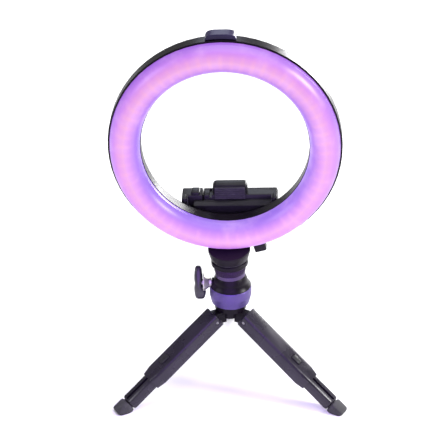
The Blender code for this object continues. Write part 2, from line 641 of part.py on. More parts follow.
def make_leg(index, angle, stand, floor):
    pivot = (PIVOT_R * math.cos(angle), PIVOT_R * math.sin(angle), PIVOT_Z)
    leg = frame(f"leg_frame_{index}", pivot, (0, LEG_SLOPE, angle), stand)
    black = surface(BLACK, 0.4)
    upper = tapered_bar(f"leg_upper_{index}", black, leg)
    half = BORE_SIZE[1] / 2
    cut(upper, box_along(f"upper_bore_{index}", -6, 82, BORE_SIZE[0], -half, half, leg),
        box_along(f"lug_notch_{index}", -6, 6.5, BORE_SIZE[0], -9, 0, leg),
        box_along(f"button_hole_{index}", BUTTON_S - 4.8, BUTTON_S + 4.8, 6.4, 4, 9, leg),
        rod(f"leg_pin_hole_{index}", 1.75, -10, 10, turn=(math.pi / 2, 0, 0), parent=leg))
    top = LOWER_SIZE[1] / 2
    lower = box_along(f"leg_lower_{index}", LOWER_START, LOWER_END, LOWER_SIZE[0], -top, top, leg, black,
                      2.2)
    cut(lower, box_along(f"groove_{index}", GROOVE[0], GROOVE[1], 2.6, 3.2, 8, leg))
    join(lower, box_along(f"tenon_{index}", LOWER_END - 3, 110.4, 8.4, -2.6, 3.4, leg))
    foot = box_along(f"foot_{index}", LOWER_END + GAP, LEG_END, LOWER_SIZE[0], -top, top, leg,
                     surface(RUBBER, 0.85), 2.2)
    cut(foot, box_along(f"foot_pocket_{index}", LOWER_END - 1, 110.7, 9.0, -2.9, 3.7, leg), floor)
    button = box_along(f"leg_button_{index}", BUTTON_S - 4.4, BUTTON_S + 4.4, 5.8, 6.5, 8.2, leg,
                       surface(BLACK, 0.3), 0.7)
    join(button, box_along(f"button_peg_{index}", BUTTON_S - 1.5, BUTTON_S + 1.5, 1.8, 4.3, 6.9, leg))


def build():
    stand = frame("stand_frame", (0, STAND_Y, 0))
    head = frame("head_frame", (0, 0, BALL_Z), (HEAD_NOD, HEAD_LEAN, HEAD_TURN), stand)
    ring = frame("ring_frame", (0, 0, RING_Z), (math.pi / 2, 0, 0), head)
    clamp = frame("clamp_frame", (0, HOLDER_Y, SWIVEL_Z), parent=head)
    make_rear_casing(ring)
    make_diffuser(ring)
    make_casing_screws(ring)
    make_boards(ring)
    make_top_cap(ring)
    make_inlet(ring)
    make_ring_foot(head)
    make_holder_bracket(head)
    make_tilt_joint(head)
    make_clamp_body(clamp)
    make_sliding_jaw(clamp)
    make_guide_rods(clamp)
    make_clamp_pads(clamp)
    make_swivel_screw(clamp)
    make_ball(head)
    make_stem(head)
    make_platform(head)
    make_housing(stand)
    make_lock_knob(stand)
    make_hub(stand)
    floor = block("floor_plane", (-200, -200, -40), (200, 200, 0), parent=stand)
    for index, angle in enumerate(leg_angles(), 1):
        make_leg(index, angle, stand, floor)


build()
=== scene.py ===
"""Looks for the ring light: materials, fine detail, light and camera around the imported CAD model."""
import json
import math

import bmesh
import bpy
from mathutils import Matrix, Vector

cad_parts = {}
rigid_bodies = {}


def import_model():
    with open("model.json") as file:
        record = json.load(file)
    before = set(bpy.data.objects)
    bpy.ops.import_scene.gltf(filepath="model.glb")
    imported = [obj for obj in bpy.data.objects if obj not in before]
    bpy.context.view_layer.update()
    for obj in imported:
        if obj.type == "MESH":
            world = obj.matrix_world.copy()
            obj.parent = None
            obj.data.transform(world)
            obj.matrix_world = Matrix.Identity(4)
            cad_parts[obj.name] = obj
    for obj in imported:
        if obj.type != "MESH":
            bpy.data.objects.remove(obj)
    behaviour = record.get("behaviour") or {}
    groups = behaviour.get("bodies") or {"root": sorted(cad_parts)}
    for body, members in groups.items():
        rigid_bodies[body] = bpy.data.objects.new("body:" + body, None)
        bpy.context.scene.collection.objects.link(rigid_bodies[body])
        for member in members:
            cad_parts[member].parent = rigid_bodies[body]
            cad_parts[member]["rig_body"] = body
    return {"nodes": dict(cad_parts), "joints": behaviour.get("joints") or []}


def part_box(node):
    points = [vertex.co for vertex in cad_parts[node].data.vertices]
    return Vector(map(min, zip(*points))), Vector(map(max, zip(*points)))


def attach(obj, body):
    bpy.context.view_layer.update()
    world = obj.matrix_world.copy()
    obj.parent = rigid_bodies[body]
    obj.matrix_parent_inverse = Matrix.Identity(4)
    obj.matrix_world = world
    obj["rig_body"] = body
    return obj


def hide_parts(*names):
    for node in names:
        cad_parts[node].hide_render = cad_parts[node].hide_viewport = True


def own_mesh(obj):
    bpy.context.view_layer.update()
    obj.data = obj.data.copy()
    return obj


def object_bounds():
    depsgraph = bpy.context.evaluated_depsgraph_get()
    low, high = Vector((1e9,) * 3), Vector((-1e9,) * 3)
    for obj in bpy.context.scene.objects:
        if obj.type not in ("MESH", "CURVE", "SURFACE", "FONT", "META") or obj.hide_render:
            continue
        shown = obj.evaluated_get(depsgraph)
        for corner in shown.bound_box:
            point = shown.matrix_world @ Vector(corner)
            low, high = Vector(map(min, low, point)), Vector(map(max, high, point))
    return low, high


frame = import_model()
CAD_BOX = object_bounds()
NODES = frame["nodes"]
JOINTS = {joint["name"]: joint for joint in frame["joints"]}
MM = 0.001
SHARP = math.radians(32)

# Camera: far away with a long lens, well above the lamp. FOCAL is in sensor widths.
VIEW_DISTANCE = 2.0
VIEW_ELEVATION = math.radians(30.8)
VIEW_HEIGHT = 0.1074
FOCAL = 5.13409
AIM_UP = 0.0491
AIM_LEFT = 0.0095


# --- Places read from the CAD model ---------------------------------------------------------------------

def middle(node):
    low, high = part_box(node)
    return (low + high) / 2


def centroid(node):
    total = Vector()
    vertices = NODES[node].data.vertices
    for vertex in vertices:
        total += vertex.co
    return total / len(vertices)


def head_axes():
    """The lamp head's own axes: across, back and up, from the joints that run along them."""
    back = Vector(JOINTS["clamp_swivel"]["axis"]).normalized()
    up = Vector(JOINTS["head_turn"]["axis"]).normalized()
    return back.cross(up).normalized(), back, up


ACROSS, BACK, UP = head_axes()
RING_CENTRE = centroid("led_board")
STAND_AXIS = middle("centre_bolt")
HEAD_ORIGIN = Vector(JOINTS["ball_tilt"]["pos_m"])


def frame_matrix(origin, x_axis, y_axis, z_axis):
    matrix = Matrix((x_axis, y_axis, z_axis)).transposed().to_4x4()
    matrix.translation = origin
    return matrix


HEAD = frame_matrix(HEAD_ORIGIN, ACROSS, BACK, UP)
RING = frame_matrix(RING_CENTRE, ACROSS, UP, -BACK)
STAND = Matrix.Translation(HEAD_ORIGIN)


# --- Node helpers ---------------------------------------------------------------------------------------

class Shader:
    """A material's node tree with short ways to add and link nodes."""

    def __init__(self, name, **values):
        self.material = bpy.data.materials.new(name)
        self.material.use_nodes = True
        self.tree = self.material.node_tree
        self.main = self.tree.nodes["Principled BSDF"]
        for key, value in values.items():
            socket = self.main.inputs[key.replace("_", " ")]
            socket.default_value = (*value, 1.0) if isinstance(value, tuple) else value

    def add(self, kind, settings=None, **inputs):
        node = self.tree.nodes.new(kind)
        for key, value in (settings or {}).items():
            setattr(node, key, value)
        for key, value in inputs.items():
            self.feed(node.inputs[key.replace("_", " ")], value)
        return node

    def feed(self, socket, value):
        if isinstance(value, bpy.types.NodeSocket):
            self.tree.links.new(value, socket)
        else:
            socket.default_value = value

    def place(self, matrix=None, scale=(1, 1, 1)):
        """Object coordinates, seen in the frame of a matrix and scaled."""
        where = self.add("ShaderNodeTexCoord").outputs["Object"]
        if matrix is not None:
            where = self.add("ShaderNodeMapping", {"vector_type": "TEXTURE"}, Vector=where,
                             Location=matrix.translation, Rotation=matrix.to_euler()).outputs[0]
        if scale != (1, 1, 1):
            where = self.add("ShaderNodeMapping", Vector=where, Scale=scale).outputs[0]
        return where

    def noise(self, where, scale, detail=3.0, roughness=0.5):
        return self.add("ShaderNodeTexNoise", Vector=where, Scale=scale, Detail=detail,
                        Roughness=roughness).outputs[0]

    def spread(self, value, low, high, start=0.3, stop=0.7):
        """A noise value's useful span mapped to low..high."""
        node = self.add("ShaderNodeMapRange", Value=value)
        for key, number in zip(("From Min", "From Max", "To Min", "To Max"), (start, stop, low, high)):
            node.inputs[key].default_value = number
        return node.outputs[0]

    def math(self, operation, first, second=None):
        node = self.add("ShaderNodeMath", {"operation": operation})
        self.feed(node.inputs[0], first)
        if second is not None:
            self.feed(node.inputs[1], second)
        return node.outputs[0]

    def ramp(self, value, *stops):
        """A colour ramp from (position, colour) stops."""
        node = self.add("ShaderNodeValToRGB", Fac=value)
        elements = node.color_ramp.elements
        while len(elements) < len(stops):
            elements.new(1.0)
        for element, (position, colour) in zip(elements, stops):
            element.position = position
            element.color = (*colour, 1.0)
        return node.outputs[0]

    def mix(self, factor, first, second):
        node = self.add("ShaderNodeMix", {"data_type": "RGBA"})
        self.feed(node.inputs[0], factor)
        for socket, value in zip(node.inputs[6:8], (first, second)):
            self.feed(socket, (*value, 1.0) if isinstance(value, tuple) else value)
        return node.outputs[2]

    def bump(self, height, strength, distance, normal=None):
        node = self.add("ShaderNodeBump", Height=height, Strength=strength, Distance=distance)
        if normal is not None:
            self.feed(node.inputs["Normal"], normal)
        return node.outputs[0]

    def set(self, **sockets):
        for key, value in sockets.items():
            self.feed(self.main.inputs[key.replace("_", " ")], value)
        return self.material


# --- Materials ------------------------------------------------------------------------------------------

def moulded_plastic(name, dark, light, gloss=(0.34, 0.5), grain=0.25, ior=1.3):
    """Injection-moulded plastic: fine spark-eroded grain, handling marks and a little dust."""
    shader = Shader(name, IOR=ior)
    where = shader.place()
    broad = shader.noise(where, 38, 4)
    fine = shader.noise(where, 1500, 2)
    scuff = shader.noise(shader.place(scale=(1, 1, 0.12)), 520, 4, 0.7)
    dust = shader.noise(where, 260, 6, 0.75)
    tone = shader.mix(shader.spread(broad, 0, 1), dark, light)
    dusty = shader.mix(shader.spread(dust, 0, 0.12, 0.6, 0.75), tone, (0.16, 0.155, 0.16))
    marks = shader.math("MULTIPLY", shader.spread(scuff, 0, 0.16, 0.62, 0.72), shader.spread(broad, 0.2, 1))
    rough = shader.math("ADD", shader.spread(broad, *gloss), marks)
    soft = shader.bump(broad, 0.08, 0.0006)
    return shader.set(Base_Color=dusty, Roughness=rough, Normal=shader.bump(fine, grain, 0.00006, soft))


def rubber(name, tone=(0.028, 0.027, 0.03)):
    """Moulded rubber: matt, with a chalky bloom and coarse pores."""
    shader = Shader(name, IOR=1.5)
    where = shader.place()
    bloom = shader.noise(where, 120, 5, 0.65)
    pores = shader.noise(where, 900, 3)
    colour = shader.mix(shader.spread(bloom, 0, 0.5, 0.45, 0.8), tone, (0.10, 0.098, 0.105))
    return shader.set(Base_Color=colour, Roughness=shader.spread(bloom, 0.68, 0.9),
                      Normal=shader.bump(pores, 0.4, 0.0001))


def turned_metal(name, tone, matrix, gloss=(0.2, 0.36), metallic=1.0):
    """Metal turned on a lathe: fine rings about its own z axis, with a faint tarnish."""
    shader = Shader(name, Metallic=metallic)
    where = shader.place(matrix)
    split = shader.add("ShaderNodeSeparateXYZ", Vector=where)
    across = shader.math("POWER", split.outputs[0], 2.0)
    along = shader.math("POWER", split.outputs[1], 2.0)
    radius = shader.math("SQRT", shader.math("ADD", across, along))
    ring = shader.add("ShaderNodeCombineXYZ", X=radius, Y=0.0, Z=split.outputs[2]).outputs[0]
    lines = shader.noise(ring, 3800, 2, 0.6)
    stain = shader.noise(where, 90, 4)
    colour = shader.mix(shader.spread(stain, 0, 0.35), tone, tuple(part * 0.72 for part in tone))
    rough = shader.math("ADD", shader.spread(stain, *gloss), shader.spread(lines, 0, 0.1))
    return shader.set(Base_Color=colour, Roughness=rough, Normal=shader.bump(lines, 0.2, 0.00004))


def plated_metal(name, tone=(0.60, 0.60, 0.62)):
    """Zinc plate on small fasteners: a grainy, slightly stained shine."""
    shader = Shader(name, Metallic=1.0)
    where = shader.place()
    stain = shader.noise(where, 300, 5, 0.6)
    grain = shader.noise(where, 2600, 2)
    colour = shader.mix(shader.spread(stain, 0, 0.6), tone, (0.42, 0.41, 0.40))
    return shader.set(Base_Color=colour, Roughness=shader.spread(stain, 0.22, 0.42),
                      Normal=shader.bump(grain, 0.25, 0.00004))


def band():
    """The middle radius and half width of the lit band, from the diffuser itself."""
    reach = [Vector(((vertex.co - RING_CENTRE).dot(ACROSS), (vertex.co - RING_CENTRE).dot(UP))).length
             for vertex in NODES["diffuser"].data.vertices]
    return (max(reach) + min(reach)) / 2, (max(reach) - min(reach)) / 2


BAND_MIDDLE, BAND_HALF = band()
LED_COUNT = 60


def lit_diffuser(name):
    """Frosted plastic lit from inside: lilac over the LEDs, deeper violet to both edges."""
    shader = Shader(name, Roughness=0.36, IOR=1.49)
    where = shader.place(RING)
    split = shader.add("ShaderNodeSeparateXYZ", Vector=where)
    square = shader.math("ADD", shader.math("POWER", split.outputs[0], 2.0),
                         shader.math("POWER", split.outputs[1], 2.0))
    offset = shader.math("SUBTRACT", shader.math("SQRT", square), BAND_MIDDLE)
    across = shader.math("DIVIDE", offset, BAND_HALF)
    side = shader.spread(across, 0, 1, -1, 1)
    angle = shader.math("ARCTAN2", split.outputs[1], split.outputs[0])
    beat = shader.math("COSINE", shader.math("MULTIPLY", angle, float(LED_COUNT)))
    centre = shader.spread(shader.math("ABSOLUTE", across), 1, 0, 0.0, 0.7)
    spots = shader.math("MULTIPLY", shader.spread(beat, 0, 0.5, -0.2, 1.0), centre)
    cloud = shader.noise(where, 42, 3, 0.6)
    glow = shader.ramp(side, (0.0, (0.22, 0.12, 0.66)), (0.14, (0.34, 0.16, 0.70)),
                       (0.34, (0.60, 0.26, 0.66)), (0.52, (0.78, 0.37, 0.66)),
                       (0.70, (0.70, 0.29, 0.70)), (0.86, (0.50, 0.18, 0.76)), (1.0, (0.28, 0.10, 0.62)))
    warm = shader.mix(shader.math("MULTIPLY", spots, shader.spread(cloud, 0.1, 1.0)), glow,
                      (0.90, 0.42, 0.50))
    pale = shader.mix(shader.spread(cloud, 0, 0.3, 0.5, 0.75), warm, (0.80, 0.48, 0.78))
    frost = shader.noise(where, 1900, 2)
    shader.set(Base_Color=shader.mix(shader.spread(cloud, 0, 1), (0.07, 0.035, 0.10), (0.10, 0.05, 0.13)),
               Emission_Color=pale, Normal=shader.bump(frost, 0.2, 0.00005))
    shader.main.inputs["Emission Strength"].default_value = 1.0
    return shader.material


def circuit_board(name, tone, traces):
    """Solder mask with the faint relief of copper runs."""
    shader = Shader(name, Roughness=0.42)
    where = shader.place(RING)
    cells = shader.add("ShaderNodeTexVoronoi", {"distance": "MANHATTAN"}, Vector=where,
                       Scale=420.0).outputs[0]
    colour = shader.mix(shader.spread(cells, 0, 0.6, 0.2, 0.5), tone, traces)
    return shader.set(Base_Color=colour, Normal=shader.bump(cells, 0.3, 0.00005))


def ground(name):
    shader = Shader(name, Roughness=0.85)
    where = shader.place()
    tone = shader.mix(shader.spread(shader.noise(where, 6, 4), 0, 1), (0.90, 0.90, 0.90), (0.93, 0.93, 0.93))
    return shader.set(Base_Color=tone, Normal=shader.bump(shader.noise(where, 300, 2), 0.05, 0.0002))


BLACK = ((0.003, 0.002, 0.004), (0.008, 0.005, 0.009))
GREY_BLACK = ((0.012, 0.012, 0.013), (0.024, 0.023, 0.026))


# --- Surfaces -------------------------------------------------------------------------------------------

def refined_mesh(node):
    """A node's mesh with its flat areas merged and its curved ones smooth, ready for rounding."""
    bm = bmesh.new()
    bm.from_mesh(NODES[node].data)
    bmesh.ops.remove_doubles(bm, verts=bm.verts, dist=0.000002)
    bmesh.ops.dissolve_limit(bm, angle_limit=math.radians(0.6), verts=bm.verts, edges=bm.edges)
    mesh = bpy.data.meshes.new(f"{node}_surface")
    bm.to_mesh(mesh)
    bm.free()
    return mesh


def carve(piece, cutters):
    """Cut shapes out of a piece, and apply the cut."""
    for cutter in cutters:
        step = piece.modifiers.new("carve", "BOOLEAN")
        step.operation = "DIFFERENCE"
        step.solver = "EXACT"
        step.object = cutter
    apply_modifiers(piece)
    for cutter in cutters:
        bpy.data.objects.remove(cutter)


def apply_modifiers(piece):
    bpy.context.view_layer.update()
    mesh = bpy.data.meshes.new_from_object(piece.evaluated_get(bpy.context.evaluated_depsgraph_get()))
    piece.modifiers.clear()
    piece.data = mesh


def refine(node, material, rounding=0.25, cutters=()):
    """Stand a finished copy in for a CAD node: smooth where it is round, its edges rounded in mm."""
    piece = bpy.data.objects.new(f"{node}_surface", refined_mesh(node))
    bpy.context.scene.collection.objects.link(piece)
    if cutters:
        carve(piece, cutters)
    piece.data.materials.clear()
    piece.data.materials.append(material)
    piece.data.shade_smooth()
    piece.data.set_sharp_from_angle(angle=SHARP)
    if rounding:
        edge = piece.modifiers.new("edges", "BEVEL")
        edge.width = rounding * MM
        edge.segments = 2
        edge.limit_method = "ANGLE"
        edge.angle_limit = math.radians(38)
        edge.harden_normals = True
    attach(piece, NODES[node]["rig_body"])
    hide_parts(node)
    return piece


def cutter_from(bm, matrix=None):
    """A cutter that carve() uses up."""
    mesh = bpy.data.meshes.new("cutter")
    bm.to_mesh(mesh)
    bm.free()
    if matrix is not None:
        mesh.transform(matrix)
    cutter = bpy.data.objects.new("cutter", mesh)
    bpy.context.scene.collection.objects.link(cutter)
    return cutter


def skin(bm, rings, round_again=False):
    """Join rings of vertices, one to the next, and the last to the first if they come round again."""
    following = rings[1:] + rings[:1] if round_again else rings[1:]
    for near, far in zip(rings, following):
        for index in range(len(near)):
            after = (index + 1) % len(near)
            bm.faces.new((near[index], near[after], far[after], far[index]))


def new_piece(name, bm, material, body, matrix):
    """A new detail piece that rides on a body, drawn in a frame."""
    mesh = bpy.data.meshes.new(name)
    bm.to_mesh(mesh)
    bm.free()
    mesh.materials.append(material)
    mesh.shade_smooth()
    mesh.set_sharp_from_angle(angle=SHARP)
    piece = bpy.data.objects.new(name, mesh)
    bpy.context.scene.collection.objects.link(piece)
    piece.matrix_world = matrix
    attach(piece, body)
    return piece


def stand_in(name, node, bm, material, matrix):
    """A new piece in place of a CAD node."""
    bmesh.ops.recalc_face_normals(bm, faces=bm.faces)
    piece = new_piece(name, bm, material, NODES[node]["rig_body"], matrix)
    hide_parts(node)
    return piece


def extent(node, matrix):
    """A node's reach in a frame: smallest and largest x, y and z, then its largest radius about z."""
    inverse = matrix.inverted()
    points = [inverse @ vertex.co for vertex in NODES[node].data.vertices]
    columns = list(zip(*points))
    spans = [(min(column), max(column)) for column in columns]
    return (*spans, max(math.hypot(point.x, point.y) for point in points))


def ridged_turning(node, outline, matrix, count, depth, ridged, material):
    """A turned piece with ridges on part of its outline, whose points (radius, height) go round once."""
    bm = bmesh.new()
    rings = []
    for step in range(count * 4):
        angle = math.tau * step / (count * 4)
        sunk = depth if step % 4 in (1, 2) else 0.0
        ring = []
        for index, (radius, height) in enumerate(outline):
            reach = radius - (sunk if index in ridged else 0.0)
            ring.append(bm.verts.new((reach * math.cos(angle), reach * math.sin(angle), height)))
        rings.append(ring)
    skin(bm, rings, round_again=True)
    bmesh.ops.remove_doubles(bm, verts=bm.verts, dist=0.000001)
    stand_in(f"{node}_surface", node, bm, material, matrix)


def ribbed_pad(node, material, face, rib, count, inward):
    """A rubber pad with rounded ribs on one face: face and rib are axes, inward that face's sign."""
    spans = extent(node, HEAD)[:3]
    run = 3 - face - rib
    low, high = spans[rib]
    front = spans[face][1 if inward > 0 else 0]
    rear = spans[face][0 if inward > 0 else 1]
    depth = 0.35 * MM * inward
    fullness = 0.6
    steps = count * 8
    section = [(low, rear), (low, front - depth)]
    for step in range(1, steps):
        swell = abs(math.sin(math.pi * step * count / steps)) ** fullness
        section.append((low + (high - low) * step / steps, front - depth * (1 - swell)))
    section += [(high, front - depth), (high, rear)]
    bm = bmesh.new()
    ends = []
    for place in spans[run]:
        ring = []
        for along, out in section:
            spot = [0.0, 0.0, 0.0]
            spot[rib], spot[face], spot[run] = along, out, place
            ring.append(bm.verts.new(spot))
        ends.append(ring)
    bm.faces.new(ends[0])
    bm.faces.new(reversed(ends[1]))
    skin(bm, ends)
    stand_in(f"{node}_surface", node, bm, material, HEAD)


def wing_matrix():
    """The lock knob's frame: z along the wing, x along the knob's axis, at the knob's centre."""
    offsets = [vertex.co - HEAD_ORIGIN for vertex in NODES["knob_wing"].data.vertices]
    across = sum(offset.y ** 2 for offset in offsets)
    upright = sum(offset.z ** 2 for offset in offsets)
    mixed = sum(offset.y * offset.z for offset in offsets)
    slant = 0.5 * math.atan2(2 * mixed, upright - across)
    along = Vector((0, math.sin(slant), math.cos(slant)))
    axis = Vector((1, 0, 0))
    return frame_matrix(HEAD_ORIGIN, axis, along.cross(axis), along)


def make_knob_wing():
    """The lock knob's grip: two lobes, the lower one fuller towards the ball head, with soft ends."""
    edge_step, bulge_top, bulge_rise = 3.4 * MM, 0.42, 0.2
    waist_at, waist_span, waist_depth = 0.48, 0.09, 0.16
    end_fullness, side_fullness, corner_fullness = 0.42, 0.8, 0.75
    sections, around = 36, 28
    matrix = wing_matrix()
    (left, right), (_, wide), (low, high), _ = extent("knob_wing", matrix)
    slim = right - edge_step
    bm = bmesh.new()
    rings = []
    for step in range(sections + 1):
        turn = math.pi * step / sections
        height = (low + high) / 2 - (high - low) / 2 * math.cos(turn)
        share = (height - low) / (high - low)
        round_end = max(math.sin(turn), 0.0)
        bulge = min(max((bulge_top - share) / bulge_rise, 0.0), 1.0)
        inner = slim + (right - slim) * bulge * bulge * (3 - 2 * bulge)
        waist = 1 - waist_depth * math.exp(-((share - waist_at) / waist_span) ** 2)
        thick = (inner - left) / 2 * round_end ** end_fullness * waist
        broad = wide * round_end ** side_fullness
        ring = []
        for turn_step in range(around):
            angle = math.tau * turn_step / around
            x = math.copysign(abs(math.cos(angle)) ** corner_fullness, math.cos(angle)) * thick
            y = math.copysign(abs(math.sin(angle)) ** corner_fullness, math.sin(angle)) * broad
            ring.append(bm.verts.new(((left + inner) / 2 + x, y, height)))
        rings.append(ring)
    skin(bm, rings)
    bmesh.ops.remove_doubles(bm, verts=bm.verts, dist=0.000001)
    shine = moulded_plastic("wing_plastic", (0.020, 0.019, 0.024), (0.036, 0.034, 0.042),
                            gloss=(0.2, 0.3), grain=0.12, ior=1.5)
    stand_in("knob_wing_surface", "knob_wing", bm, shine, matrix)


def ring_groove(radius, width, depth):
    """A cutter for a shallow round groove in the casing's back."""
    back = extent("rear_casing", RING)[2][0]
    section = [(radius - width / 2, back + depth), (radius + width / 2, back + depth),
               (radius + width / 2, back - depth), (radius - width / 2, back - depth)]
    steps = 128
    bm = bmesh.new()
    rings = []
    for step in range(steps):
        angle = math.tau * step / steps
        rings.append([bm.verts.new((reach * math.cos(angle), reach * math.sin(angle), height))
                      for reach, height in section])
    skin(bm, rings, round_again=True)
    bmesh.ops.recalc_face_normals(bm, faces=bm.faces)
    return cutter_from(bm, RING)


def assign(material, *names):
    for name in names:
        slots = NODES[name].data.materials
        slots.clear()
        slots.append(material)


def dress_lamp():
    refine("diffuser", lit_diffuser("diffuser_lit"), 0)
    grooves = [ring_groove(BAND_MIDDLE + side * 0.6 * BAND_HALF, 0.9 * MM, 0.45 * MM) for side in (-1, 1)]
    refine("rear_casing", moulded_plastic("casing_plastic", *BLACK, gloss=(0.26, 0.4)), 0, grooves)
    # The cap's blue-violet tone is painted light: the ring's violet glow laid into the cap's colour.
    cap = moulded_plastic("cap_painted_violet_light", (0.018, 0.013, 0.045), (0.032, 0.024, 0.075), (0.3, 0.44))
    refine("top_cap", cap, 0.9)
    refine("inlet_housing", moulded_plastic("inlet_plastic", *BLACK), 0.2)
    refine("inlet_socket", plated_metal("socket_plate"), 0.1)
    assign(circuit_board("led_board_mask", (0.82, 0.83, 0.80), (0.70, 0.71, 0.66)), "led_board")
    assign(circuit_board("driver_board_mask", (0.03, 0.18, 0.07), (0.06, 0.28, 0.12)), "driver_board")
    assign(rubber("lead_sleeve", (0.35, 0.02, 0.02)), "inlet_lead")
    make_leds()
    steel = plated_metal("casing_fastener_plate")
    screws = [f"casing_screw_{index}" for index in range(1, 5)]
    for name in (*screws, "bracket_screw_1", "bracket_screw_2"):
        refine(name, steel, 0.1, cross_recess(name, BACK))


def make_leds():
    """Square LED packages with a domed lens, in a ring on the board's front."""
    inset, lift, side = 2.8 * MM, 1.45 * MM, 2.8 * MM
    lens_radius, lens_lift, lens_flat = 1.0 * MM, 0.45 * MM, 0.45
    bm = bmesh.new()
    for step in range(LED_COUNT):
        angle = math.tau * step / LED_COUNT
        spot = Matrix.Rotation(angle, 4, "Z") @ Matrix.Translation((BAND_MIDDLE - inset, 0, lift))
        chip = bmesh.ops.create_cube(bm, size=1.0, matrix=spot @ Matrix.Diagonal((side, side, MM, 1)))
        edges = {edge for vert in chip["verts"] for edge in vert.link_edges}
        bmesh.ops.bevel(bm, geom=list(edges), offset=0.15 * MM, segments=1, affect="EDGES")
        lens = spot @ Matrix.Translation((0, 0, lens_lift)) @ Matrix.Diagonal((1, 1, lens_flat, 1))
        bmesh.ops.create_uvsphere(bm, u_segments=10, v_segments=6, radius=lens_radius, matrix=lens)
    shader = Shader("led_phosphor", Roughness=0.3)
    tone = shader.mix(shader.spread(shader.noise(shader.place(), 700, 2), 0, 1), (0.9, 0.72, 0.2),
                      (0.95, 0.86, 0.5))
    new_piece("led_chips", bm, shader.set(Base_Color=tone), "head", RING)


def cross_recess(node, outward):
    """Two crossed slots sunk into the outer end of a screw's head."""
    length, width, depth = 2.2 * MM, 0.55 * MM, 0.8 * MM
    centre = centroid(node)
    reach = max((vertex.co - centre).dot(outward) for vertex in NODES[node].data.vertices)
    top = centre + outward * reach
    side = outward.cross(Vector((0, 0, 1))).normalized()
    base = frame_matrix(top, side, outward.cross(side), outward)
    cutters = []
    for turn in (45, 135):
        bm = bmesh.new()
        size = Matrix.Diagonal((length, width, 2 * depth, 1))
        bmesh.ops.create_cube(bm, size=1.0, matrix=base @ Matrix.Rotation(math.radians(turn), 4, "Z") @ size)
        cutters.append(cutter_from(bm))
    return cutters


def dress_neck():
    trim = moulded_plastic("neck_plastic", *BLACK, gloss=(0.34, 0.46), ior=1.22)
    for node in ("ring_foot", "platform"):
        refine(node, trim)
    housing = moulded_plastic("housing_plastic", *BLACK, gloss=(0.28, 0.42), ior=1.22)
    refine("ball_housing", housing)
    refine("hub", housing)
    assign(moulded_plastic("ball_nylon", *BLACK, gloss=(0.2, 0.3)), "ball")
    assign(moulded_plastic("seat_nylon", (0.7, 0.7, 0.68), (0.8, 0.8, 0.77)), "ball_seat")
    # The skirt's violet base colour is a painted reflection of the ring's violet light on the metal.
    refine("stem_skirt", turned_metal("skirt_painted_violet_reflection", (0.10, 0.07, 0.15), HEAD, (0.34, 0.48)))
    make_lock_ring()
    # The collar is light metal; its violet base colour is a painted reflection of the ring's violet light.
    refine("head_base", turned_metal("collar_painted_violet_reflection", (0.095, 0.065, 0.21), STAND, (0.34, 0.5), 0.7))
    knob_axis = frame_matrix(HEAD_ORIGIN, Vector((0, 1, 0)), Vector((0, 0, 1)), Vector((1, 0, 0)))
    refine("knob_screw", turned_metal("knob_metal", (0.60, 0.61, 0.52), knob_axis, (0.3, 0.46), 0.8))
    make_knob_wing()
    assign(turned_metal("stem_metal", (0.55, 0.55, 0.57), HEAD), "ball_stem", "head_stud")
    assign(turned_metal("insert_brass", (0.72, 0.52, 0.25), HEAD), "foot_insert")
    assign(rubber("pad_rubber"), "platform_pad")
    refine("centre_bolt", plated_metal("bolt_plate"))


def make_lock_ring():
    """The knurled nut that locks the head's turning."""
    _, _, (low, high), reach = extent("lock_ring", HEAD)
    bore, step, knurls = 7.4 * MM, 0.5 * MM, 44
    outline = [(bore, high), (reach - step, high), (reach, high - step), (reach, low + 3 * step),
               (reach - step, low + 2 * step), (reach - step, low), (reach - 1.3 * MM, low),
               (bore + 2.6 * MM, low + 2.3 * MM), (bore, low + 3.8 * MM)]
    # Its dark violet base colour is painted light: the ring's violet cast on dark metal.
    metal = turned_metal("lock_ring_painted_violet_cast", (0.035, 0.02, 0.055), HEAD, (0.3, 0.44))
    ridged_turning("lock_ring", outline, HEAD, knurls, 0.3 * MM, (2, 3), metal)


def make_tilt_knob():
    """A fluted thumb knob on the tilt bolt's end."""
    joint = JOINTS["tilt_knob_turn"]
    axis = Vector(joint["axis"]).normalized()
    side = axis.cross(UP).normalized()
    matrix = frame_matrix(Vector(joint["pos_m"]), side, axis.cross(side), axis)
    _, _, (low, high), reach = extent("tilt_knob", matrix)
    soft, bore, flutes = 0.9 * MM, 2.2 * MM, 12
    outline = [(0, high), (reach - soft, high), (reach, high - soft), (reach, low + soft),
               (reach - soft, low), (bore, low), (bore, high - 3 * soft), (0, high - 3 * soft)]
    plastic = moulded_plastic("tilt_knob_plastic", *BLACK)
    ridged_turning("tilt_knob", outline, matrix, flutes, 0.7 * MM, (1, 2, 3, 4), plastic)


def make_spring(node, material):
    """A compression spring on a guide rod, coiled over the spring node's span."""
    (left, right), across, upright, _ = extent(node, HEAD)
    wire, turns, sides, slack = 0.28 * MM, 9, 8, 0.97
    coil = (across[1] - across[0]) / 2 - wire
    start, end = left + wire, right - wire
    steps = turns * 20
    bm = bmesh.new()
    rings = []
    for step in range(steps + 1):
        angle = math.tau * turns * step / steps
        ring = []
        for side in range(sides):
            round_wire = math.tau * side / sides
            reach = coil + wire * math.cos(round_wire)
            ring.append(bm.verts.new((start + (end - start) * step / steps + wire * math.sin(round_wire),
                                      sum(across) / 2 + reach * math.cos(angle),
                                      sum(upright) / 2 + reach * math.sin(angle))))
        rings.append(ring)
    skin(bm, rings)
    bm.faces.new(rings[0])
    bm.faces.new(reversed(rings[-1]))
    spring = stand_in(f"{node}_coil", node, bm, material, HEAD)
    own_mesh(spring)


